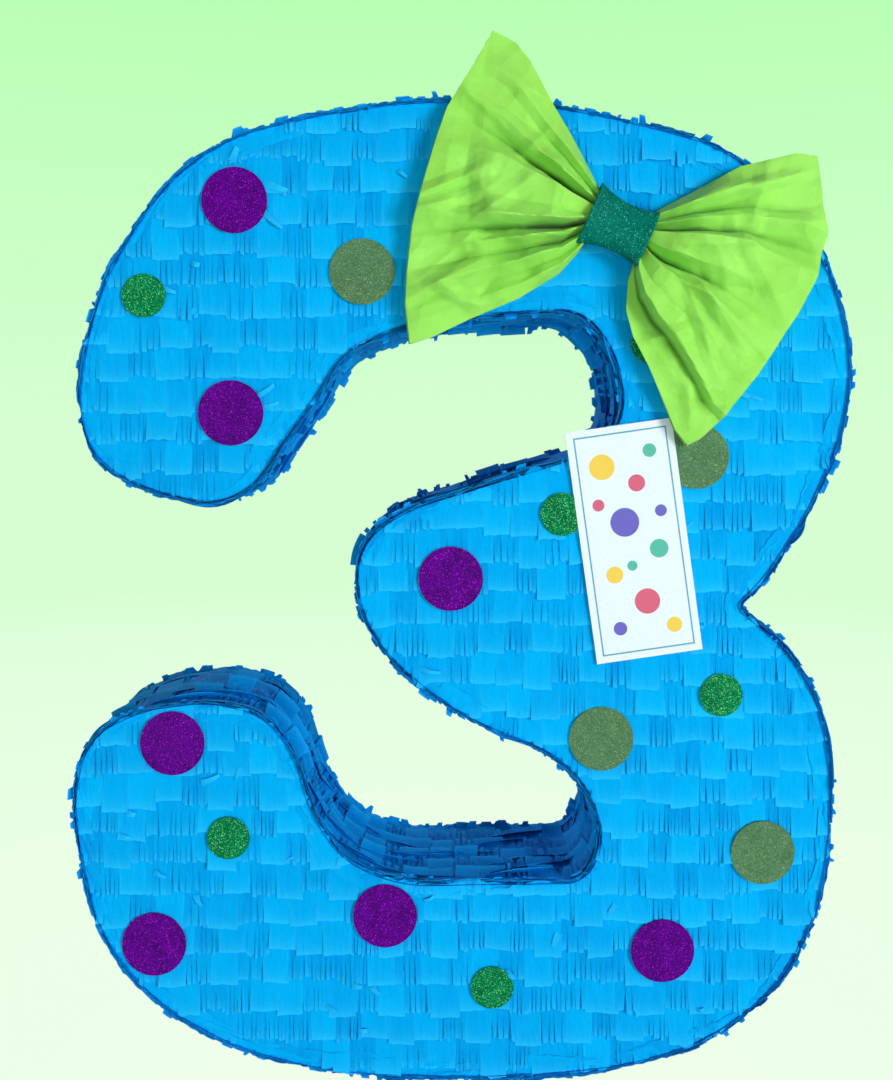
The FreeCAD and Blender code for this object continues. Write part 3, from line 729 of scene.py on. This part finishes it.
def wall_rows(rng, start, length):
    """Six rows along one wall, tabs pointing back, folded strip edges at the front."""
    sheets = Sheets()
    rows = 6
    pitch = (2 * FACE + 3 * MM) / rows
    count = max(1, round(length / TAB))
    width = length / count
    for row in range(rows):
        root = -FACE - 2.2 * MM + pitch * row
        for column in range(count):
            kind = "square" if (column + row) % 2 == 0 else "slits"
            if rng.random() < 0.2:
                kind = "slits" if kind == "square" else "square"
            tip = root + pitch + 5.5 * MM + rng.uniform(-1.2, 1.5) * MM
            torn, loose = 0.7, 2.8
            if row == rows - 1:
                tip = FACE + rng.uniform(0.4, 2.0) * MM
                kind, torn, loose = "square", 2.0, 1.4
            for shape in tab_shapes(rng, kind, width, loose):
                shape = shape[:4] + (shape[4] * 3.0,) + shape[5:]
                across, down = (6, 6) if kind == "square" else (2, 5)
                middle = start + (column + 0.5) * width + shape[0]
                s, y, h = tab_grid(rng, middle, root, tip, shape, across, down, torn)
                lay_strip(sheets, s, y, h, tab_edge_light(h.shape), shape[6])
    # the glued layer under the tabs
    steps = int(length / (3 * MM))
    s = np.linspace(start, start + length, steps + 1)[None, :]
    y = np.linspace(-FACE, FACE, 35)[:, None]
    lay_strip(sheets, s, y, np.full((35, steps + 1), 0.28 * MM), np.zeros((35, 1)), 0.3)
    edge_ribbons(sheets, rng, start, length)
    return sheets


def lay_strip(sheets, s, y, h, edge_light_and_fold_shade, tint):
    """One thin strip on a wall, from grids of length, depth and height in metres."""
    s, y, h = np.broadcast_arrays(s, y, h)
    place = on_outline(s, h)
    under = on_outline(s, h - SHEET)
    front = np.stack([place[..., 0], y, place[..., 1]], -1)
    back = np.stack([under[..., 0], y, under[..., 1]], -1)
    clear = (np.hypot(place[..., 0], y) > 9 * MM) | (place[..., 1] < -12 * MM)
    keep = whole(clear)
    sheets.add(back, front, min(1.0, max(0.0, tint)), np.broadcast_to(edge_light_and_fold_shade, s.shape), keep)


def edge_ribbons(sheets, rng, start, length):
    """Folded strips glued along the front edge of a wall, and torn ends that stand out."""
    for _ in range(6):
        at = start - 1.0 * MM
        while at < start + length:
            stop = min(at + rng.uniform(14, 60) * MM, start + length + 1.0 * MM)
            if stop - at < 6 * MM:
                break
            steps = max(3, int((stop - at) / (2.5 * MM)))
            s = np.linspace(at, stop, steps + 1)[None, :]
            share = np.linspace(0, 1, steps + 1)[None, :]
            first, last = rng.uniform(0.3, 3.6), rng.uniform(0.3, 3.6)
            phase = rng.uniform(0, 6.28)
            rip = np.array([rng.uniform(-0.35, 0.35) for _ in range(steps + 1)])[None, :]
            slow = np.array([[wobble(x, z) for x, z in on_outline(s, 0 * s)[0]]])
            rise = first + (last - first) * share + 0.35 * np.sin(s / (9 * MM) + phase) + rip + slow
            rise = np.maximum(rise, 0.3)
            ahead = rng.uniform(-1.2, 1.9) + 0.5 * np.sin(s / (13 * MM) + phase * 2) + 1.2 * rip
            depth = rng.uniform(5, 14)
            across = np.array([0.0, 0.25, 0.6, 1.0])[:, None]
            y = (-FACE / MM - ahead + across * depth) * MM
            h = (0.3 + (rise - 0.3) * (1 - across) ** 0.7) * MM
            # Painted highlight along the ribbon's front fold.
            edge_light_and_fold_shade = np.array([1.0, 0.5, 0.1, 0.0])[:, None]
            lay_strip(sheets, s, y, h, edge_light_and_fold_shade, rng.uniform(0.0, 1.0))
            at = stop - rng.uniform(-4, 6) * MM
    # torn ends at the front and at the back edge
    for edge, inward, share in ((-FACE, 1, 6.0), (FACE, -1, 7.0)):
        for _ in range(int(length / (share * MM))):
            middle = start + rng.uniform(0, 1) * length
            width = rng.uniform(4.0, 13.0) * MM
            across = np.linspace(-0.5, 0.5, 4)[None, :]
            t = np.linspace(0, 1, 4)[:, None]
            skew = rng.uniform(-4, 4) * MM
            s = middle + across * width * (1 - rng.uniform(0.35, 0.8) * t) + skew * t
            y = edge + inward * (5.0 - rng.uniform(4.0, 6.5) * t + rng.uniform(-1, 1)) * MM
            tall = rng.uniform(1.2, 4.4) if rng.random() < 0.82 else rng.uniform(3.6, 6.2)
            h = (0.5 + tall * t ** 1.6) * MM
            # Painted highlight on the torn tips.
            lay_strip(sheets, s, y, h, t ** 2, rng.uniform(0.2, 1.0))
    # loose folded strips lying askew
    for _ in range(int(length / (11 * MM))):
        middle = start + rng.uniform(0.02, 0.92) * length
        run = min(rng.uniform(16, 65) * MM, start + length - middle)
        share = np.linspace(0, 1, 12)[None, :]
        first = rng.uniform(-50, 30)
        drift = rng.uniform(-6, 20)
        wide = rng.uniform(4, 11)
        across = np.linspace(0, 1, 4)[:, None]
        s = middle + run * share + wide * MM * 0.6 * across
        y = np.minimum(first + drift * share + wide * across * (1 - 0.6 * share), FACE / MM + 2) * MM
        h = (0.8 + rng.uniform(1.4, 4.4) * (1 - across) * (0.4 + 0.6 * np.sin(share * 3.0))) * MM
        # Painted highlight along one edge of the strip.
        lay_strip(sheets, s, y, h, 1 - across, rng.uniform(0.2, 1.0))


for label, (start, length) in wall_spans().items():
    rows_of_wall = wall_rows(random.Random(700 + len(label) * 13 + ord(label[0])), start, length)
    wall_fringe = rows_of_wall.build("fringe_" + label + "_rows", SHADED_BLUE)
    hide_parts("fringe_" + label)
    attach(wall_fringe, "shell")

# ---- fringe on the back and on the flap ----------------------------------------------------------
CUT = (FLAP_LOW[0] - 0.5 * MM, FLAP_LOW[2] - 0.5 * MM, FLAP_HIGH[0] + 0.5 * MM, FLAP_HIGH[2] + 4.5 * MM)
KEPT = (FLAP_LOW[0], FLAP_LOW[2], FLAP_HIGH[0], FLAP_HIGH[2] - 0.4 * MM)
back_rows = face_rows(random.Random(52), 1, window=CUT)
border_strips(back_rows, 1, random.Random(61))
back_fringe = back_rows.build("back_fringe_rows", BLUE)
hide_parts("back_fringe")
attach(back_fringe, "shell")
flap_rows = face_rows(random.Random(53), 1, only=KEPT)
flap_fringe = flap_rows.build("flap_fringe_rows", BLUE)
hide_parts("flap_fringe")
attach(flap_fringe, "flap")


# ---- bow ------------------------------------------------------------------------------------------
def along_line(points, t):
    """Points along a line of corners, at shares t of its length."""
    points = np.array(points, float)
    lengths = np.concatenate([[0], np.cumsum(np.linalg.norm(np.diff(points, axis=0), axis=1))])
    at = np.asarray(t) * lengths[-1]
    return np.stack([np.interp(at, lengths, points[:, k]) for k in range(points.shape[1])], -1)


# Each wing, in millimetres: the gathered end at the band, the open edge and the two sides.
# A fold runs from the band to the open edge: its share across and its height, at four
# distances from the band. Between two folds the paper is flat.
STATIONS = (0.0, 0.3, 0.62, 1.0)
LEFT_WING = {
    "root": [(64, -52), (60, -66), (56, -80)],
    "rim": [(2, 38), (-12.5, 13), (-24, -5), (-30, -22), (-37, -45), (-44, -72),
            (-47, -98), (-48, -116), (-45.5, -139)],
    "top": [(64, -52), (47, -21), (36, -3), (23, 21), (15, 31), (2, 38)],
    "low": [(56, -80), (50, -88), (40, -99), (17, -113), (-11, -125), (-34, -136), (-45.5, -139)],
    "folds": [
        ((0.00, 0.00, 0.00, 0.00), (6, 8, 9, 9)),
        ((0.10, 0.10, 0.10, 0.10), (14, 16, 14, 10)),
        ((0.16, 0.15, 0.14, 0.13), (9, 11, 12, 10)),
        ((0.25, 0.24, 0.23, 0.22), (15, 21, 17, 12)),
        ((0.31, 0.30, 0.29, 0.29), (4, 4, 9, 11)),
        ((0.37, 0.36, 0.36, 0.38), (15, 24, 21, 13)),
        ((0.50, 0.50, 0.52, 0.54), (12, 20, 18, 13)),
        ((0.56, 0.58, 0.60, 0.62), (16, 26, 22, 13)),
        ((0.60, 0.62, 0.65, 0.67), (4, 4, 8, 10)),
        ((0.67, 0.68, 0.70, 0.72), (14, 19, 17, 12)),
        ((0.73, 0.74, 0.76, 0.78), (5, 6, 10, 10)),
        ((0.81, 0.80, 0.82, 0.84), (14, 18, 15, 11)),
        ((0.88, 0.87, 0.88, 0.89), (8, 10, 11, 9)),
        ((0.95, 0.93, 0.93, 0.94), (12, 15, 13, 10)),
        ((1.00, 1.00, 1.00, 1.00), (6, 7, 8, 8))],
}
RIGHT_WING = {
    "root": [(93, -65), (89, -79), (84, -92)],
    "rim": [(188, -32), (191, -60), (194, -76), (188, -101), (177, -122), (155, -156),
            (133, -184), (122, -194), (115, -197.5)],
    "top": [(93, -65), (118, -52), (144, -38), (176, -30.5), (188, -32)],
    "low": [(84, -92), (80, -104), (79, -120), (83, -135), (92, -152), (102, -175),
            (108, -189), (115, -197.5)],
    "folds": [
        ((0.00, 0.00, 0.00, 0.00), (6, 8, 9, 9)),
        ((0.10, 0.09, 0.09, 0.10), (14, 19, 15, 11)),
        ((0.17, 0.17, 0.18, 0.19), (6, 7, 10, 10)),
        ((0.24, 0.22, 0.22, 0.23), (14, 19, 17, 12)),
        ((0.31, 0.29, 0.29, 0.30), (4, 4, 7, 9)),
        ((0.37, 0.34, 0.34, 0.36), (15, 23, 20, 13)),
        ((0.52, 0.48, 0.47, 0.49), (13, 21, 18, 13)),
        ((0.58, 0.54, 0.54, 0.56), (4, 4, 12, 12)),
        ((0.66, 0.62, 0.61, 0.62), (15, 25, 20, 14)),
        ((0.78, 0.74, 0.73, 0.74), (10, 18, 16, 13)),
        ((0.86, 0.84, 0.84, 0.86), (14, 22, 19, 14)),
        ((0.88, 0.86, 0.86, 0.88), (5, 5, 7, 9)),
        ((1.00, 1.00, 1.00, 1.00), (6, 8, 9, 8))],
}


def folded(wing, t, v):
    """Height of the folded paper at distances t from the band and shares v across."""
    places = np.array([fold[0] for fold in wing["folds"]])
    heights = np.array([fold[1] for fold in wing["folds"]], float)
    height = np.empty((len(t), len(v)))
    for i, at in enumerate(t):
        place = [np.interp(at, STATIONS, row) for row in places]
        level = [np.interp(at, STATIONS, row) for row in heights]
        height[i] = np.interp(v, place, level)
    return height


def crumpled(plan, seed):
    """Small sharp creases in paper, from cells stretched away from the band."""
    rows, cols = plan.shape[:2]
    result = np.zeros((rows, cols))
    for i in range(rows):
        for j in range(cols):
            x, z = plan[i, j]
            warp = noise.noise(Vector((x * 0.02, z * 0.02, seed)))
            spot = Vector((x * 0.026 + seed + warp, z * 0.04 - 0.6 * warp, seed * 0.3))
            cell, _ = noise.voronoi(spot)
            fine, _ = noise.voronoi(spot * 2.4 + Vector((5.0, 0.0, 0.0)))
            result[i, j] = (cell[1] - cell[0]) + 0.35 * (fine[1] - fine[0])
            result[i, j] += 0.9 * noise.noise(spot * 0.8)
    return result - result.mean()


def creased(plan, seed, count=26):
    """Straight sharp creases, most of them running out from the band."""
    rng = random.Random(seed)
    x, z = plan[..., 0], plan[..., 1]
    root = plan[0].mean(axis=0)
    total = np.zeros(x.shape)
    for _ in range(count):
        i = int(rng.triangular(0.2, 1.0, 0.65) * (x.shape[0] - 1))
        j = int(rng.uniform(0.04, 0.96) * (x.shape[1] - 1))
        centre = plan[i, j]
        radial = math.atan2(centre[1] - root[1], centre[0] - root[0])
        angle = radial + (rng.gauss(0, 0.22) if rng.random() < 0.82 else rng.uniform(0.5, 2.6))
        along = (x - centre[0]) * math.cos(angle) + (z - centre[1]) * math.sin(angle)
        across = -(x - centre[0]) * math.sin(angle) + (z - centre[1]) * math.cos(angle)
        long, wide = rng.uniform(12, 38), rng.uniform(5, 14)
        tent = np.maximum(0, 1 - np.abs(across) / wide) * np.clip(1.5 - np.abs(along) / long, 0, 1)
        total += rng.choice((-1, 1, 1)) * rng.uniform(1.4, 4.0) * tent
    return total


def painted_fold_shade(height, t):
    """0 to 1: painted shade, darker in the valleys between folds and next to the band."""
    reach = 8
    padded = np.pad(height, ((0, 0), (reach, reach)), mode="edge")
    mean = sum(padded[:, k:k + height.shape[1]] for k in range(2 * reach + 1)) / (2 * reach + 1)
    deep = np.clip((mean - height - 0.6) / 4.5, 0, 1) * 0.85
    return np.maximum(deep, 0.5 * np.clip(1 - t / 0.07, 0, 1)[:, None])


# The bow's paper is taken as one strip folded into two layers. It is as wide as an open edge is long,
# and as long as both wings reach from the middle, front and rear together.
BOW_CUT = (0.49, 0.19)
PLEATS = 16


def wing_sheet(wing, seed, nu=130, nv=190):
    """Front and rear layers of one wing, joined by the fold at the open edge."""
    t = np.linspace(0, 1, nu)
    v = np.linspace(0, 1, nv)
    root = along_line(wing["root"], v)[None]
    rim = along_line(wing["rim"], v)[None]
    top = along_line(wing["top"], t)[:, None]
    low = along_line(wing["low"], t)[:, None]
    tt, vv = t[:, None, None], v[None, :, None]
    corners = ((1 - tt) * ((1 - vv) * root[:, :1] + vv * root[:, -1:])
               + tt * ((1 - vv) * rim[:, :1] + vv * rim[:, -1:]))
    plan = (1 - tt) * root + tt * rim + (1 - vv) * top + vv * low - corners
    crumple = crumpled(plan, seed)
    edge = np.minimum(1, np.minimum(v, 1 - v) * 14)[None, :]
    near = np.clip(t * 4, 0.15, 1)[:, None]
    height = folded(wing, t, v) + 1.3 * crumple * near * (0.3 + 0.7 * edge)
    height = height + creased(plan, seed) * near * edge
    front = np.stack([plan[..., 0], -52 - np.clip(height, 3.4, 28.0), plan[..., 1]], -1)
    rear_t = t[::-1, None]
    inset = 1 - 0.06 * (1 - rear_t)
    middle = plan.mean(axis=1, keepdims=True)[::-1]
    rear_plan = middle + (plan[::-1] - middle) * inset[..., None]
    # the width left over nearer the band goes into pleats
    width = np.linalg.norm(np.diff(rear_plan, axis=1), axis=2).sum(axis=1)[:, None]
    spare = np.sqrt(np.maximum((BOW_CUT[1] / MM) ** 2 - width ** 2, 0))
    zigzag = 1 + 2 / math.pi * np.arcsin(np.sin(2 * math.pi * PLEATS * v))[None, :]
    rear_height = 1.2 + spare / (4 * PLEATS) * zigzag + 0.6 * np.abs(crumple[::-1])
    rear_height = np.minimum(rear_height, height[::-1] - 1.6)
    rear = np.stack([rear_plan[..., 0], -52 - np.maximum(rear_height, 1.0), rear_plan[..., 1]], -1)
    bend = (front[-1] + rear[0]) / 2
    outward = plan[-1] - plan[-3]
    outward /= np.linalg.norm(outward, axis=1)[:, None]
    bend[:, 0] += outward[:, 0] * 0.8
    bend[:, 2] += outward[:, 1] * 0.8
    # Painted shade for the front layer's folds; the rear layer is painted a little darker all over.
    dark = np.vstack([painted_fold_shade(height, t), np.full((1 + nu, nv), 0.1)])
    return np.concatenate([front, bend[None], rear], axis=0) * MM, dark


def skin(points, thickness):
    """A second skin behind a grid of points, along its own normals."""
    along = np.gradient(points, axis=0)
    across = np.gradient(points, axis=1)
    normal = np.cross(along, across)
    size = np.linalg.norm(normal, axis=2)[..., None]
    return points - normal / np.maximum(size, 1e-12) * thickness


bow_sheets = Sheets()
for wing, seed, flip in ((LEFT_WING, 3.1, False), (RIGHT_WING, 8.4, True)):
    points, dark = wing_sheet(wing, seed)
    if flip:
        points, dark = points[:, ::-1], dark[:, ::-1]
    bow_sheets.add(points, skin(points, -0.28 * MM), 0.8, dark)
bow = bow_sheets.build("bow_tissue", GREEN, crisp=28)
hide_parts("bow_paper")
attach(bow, "shell")


def bow_band():
    """A waisted band of glitter paper round the gathered middle."""
    axis = math.radians(-24)
    low, high = (Vector(p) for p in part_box("bow_band"))
    centre = (low + high) / 2 / MM
    along_count, around = 25, 72
    skins = []
    for inset in (0.0, 0.7):
        rings = []
        for i in range(along_count):
            a = -18.5 + 37 * i / (along_count - 1)
            share = a / 18.5
            half = (14.2 + 3.6 * share ** 2 - 1.0 * share) - inset
            deep = (8.0 + 2.6 * share ** 2) - inset
            ring = []
            for k in range(around):
                angle = 2 * math.pi * k / around
                c, s = math.cos(angle), math.sin(angle)
                squareness = (abs(c) ** 2.05 + abs(s) ** 2.05) ** (-1 / 2.05)
                across = half * c * squareness
                out = -deep * s * squareness
                x = centre.x + a * math.cos(axis) - across * math.sin(axis)
                z = centre.z + a * math.sin(axis) + across * math.cos(axis)
                ring.append((x * MM, (-52.4 - 10.4 + out) * MM, z * MM))
            rings.append(ring)
        skins.append(rings)
    points = [p for rings in skins for ring in rings for p in ring]
    size = along_count * around
    faces = []
    for i in range(along_count - 1):
        for k in range(around):
            a, b = i * around + k, i * around + (k + 1) % around
            c, d = b + around, a + around
            faces.append((a, b, c, d))
            faces.append((a + size, d + size, c + size, b + size))
    for i in (0, along_count - 1):
        for k in range(around):
            a, b = i * around + k, i * around + (k + 1) % around
            faces.append((b, a, a + size, b + size) if i == 0 else (a, b, b + size, a + size))
    mesh = bpy.data.meshes.new("bow_band_wrap")
    mesh.from_pydata(points, [], faces)
    mesh.validate()
    mesh.polygons.foreach_set("use_smooth", [True] * len(mesh.polygons))
    obj = bpy.data.objects.new("bow_band_wrap", mesh)
    bpy.context.collection.objects.link(obj)
    mesh.materials.append(FINISH["glitter_band"])
    return obj


band = bow_band()
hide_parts("bow_band")
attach(band, "shell")

# ---- stage, light and camera -----------------------------------------------------------------------
bpy.ops.mesh.primitive_plane_add(size=80, location=(0, 4, -0.62))
floor = bpy.context.object
floor.name = "studio_floor"
paper = Nodes("studio_floor", 0.9)
tone = paper.ramp(paper.noise(0.6, 2.0, 0.5), 0.2, 0.8)
tinted = paper.mix(tone, rgb(222, 248, 218), rgb(228, 250, 224))
floor.data.materials.append(paper.finish(tinted, tone, 0.02, 1 * MM))
from_middle = paper.node("VectorMath", {0: paper.where, 1: (0.0, -4.0, 0.0)}, operation="DISTANCE")
far = paper.ramp(from_middle.outputs["Value"], 0.1, 2.6)
pale = paper.mix(far, rgb(238, 254, 234), rgb(214, 254, 210))
glow = paper.node("Emission", {"Color": pale, "Strength": 1.0})
seen = paper.node("LightPath").outputs["Is Camera Ray"]
blend = paper.node("MixShader", {0: seen})
paper.tree.links.new(paper.shader.outputs[0], blend.inputs[1])
paper.tree.links.new(glow.outputs[0], blend.inputs[2])
paper.tree.links.new(blend.outputs[0], paper.tree.nodes["Material Output"].inputs["Surface"])

world = bpy.data.worlds.new("soft_room")
bpy.context.scene.world = world
world.use_nodes = True
tree = world.node_tree
room = tree.nodes["Background"]
room.inputs["Color"].default_value = rgb(226, 250, 230)
room.inputs["Strength"].default_value = 0.25
backdrop = tree.nodes.new("ShaderNodeBackground")
ramp = tree.nodes.new("ShaderNodeMapRange")
ramp.inputs["From Min"].default_value = 0.0
ramp.inputs["From Max"].default_value = 0.34
split = tree.nodes.new("ShaderNodeSeparateXYZ")
tree.links.new(tree.nodes.new("ShaderNodeTexCoord").outputs["Generated"], split.inputs[0])
tree.links.new(split.outputs["Z"], ramp.inputs["Value"])
shade_mix = tree.nodes.new("ShaderNodeMix")
shade_mix.data_type = "RGBA"
shade_mix.inputs[6].default_value = rgb(214, 254, 210)
shade_mix.inputs[7].default_value = rgb(184, 255, 179)
tree.links.new(ramp.outputs["Result"], shade_mix.inputs[0])
tree.links.new(shade_mix.outputs[2], backdrop.inputs["Color"])
either = tree.nodes.new("ShaderNodeMixShader")
tree.links.new(tree.nodes.new("ShaderNodeLightPath").outputs["Is Camera Ray"], either.inputs[0])
tree.links.new(room.outputs[0], either.inputs[1])
tree.links.new(backdrop.outputs[0], either.inputs[2])
tree.links.new(either.outputs[0], tree.nodes["World Output"].inputs["Surface"])


def soft_light(name, place, target, size, power):
    """A square studio light aimed at a point."""
    data = bpy.data.lights.new(name, "AREA")
    data.shape = "SQUARE"
    data.size = size
    data.energy = power
    obj = bpy.data.objects.new(name, data)
    obj.location = place
    aim = Vector(target) - Vector(place)
    obj.rotation_mode = "QUATERNION"
    obj.rotation_quaternion = aim.to_track_quat("-Z", "Y")
    bpy.context.collection.objects.link(obj)


middle = (0, 0, -0.29)
soft_light("key", (2.2, -2.7, 0.1), middle, 1.1, 86)
soft_light("fill", (-0.4, -1.7, -0.85), (0, 0, -0.45), 0.8, 40)
soft_light("rear", (-1.2, 3.0, 1.2), middle, 1.6, 60)

camera_data = bpy.data.cameras.new("camera")
camera = bpy.data.objects.new("camera", camera_data)
bpy.context.collection.objects.link(camera)
bpy.context.scene.camera = camera
bpy.context.scene.view_settings.view_transform = "Standard"
camera_data.sensor_width = 36
camera_data.lens = 39.24
camera_data.shift_x = 0.0125
camera_data.shift_y = -0.0509
camera.location = (-0.040, -0.7419, -0.189)
pitch, yaw = math.radians(2.675), math.radians(0.633)
forward = Vector((math.sin(yaw) * math.cos(pitch), math.cos(yaw) * math.cos(pitch), -math.sin(pitch)))
camera.rotation_mode = "QUATERNION"
camera.rotation_quaternion = forward.to_track_quat("-Z", "Y")
camera_data.clip_start = 0.01
camera_data.clip_end = 100
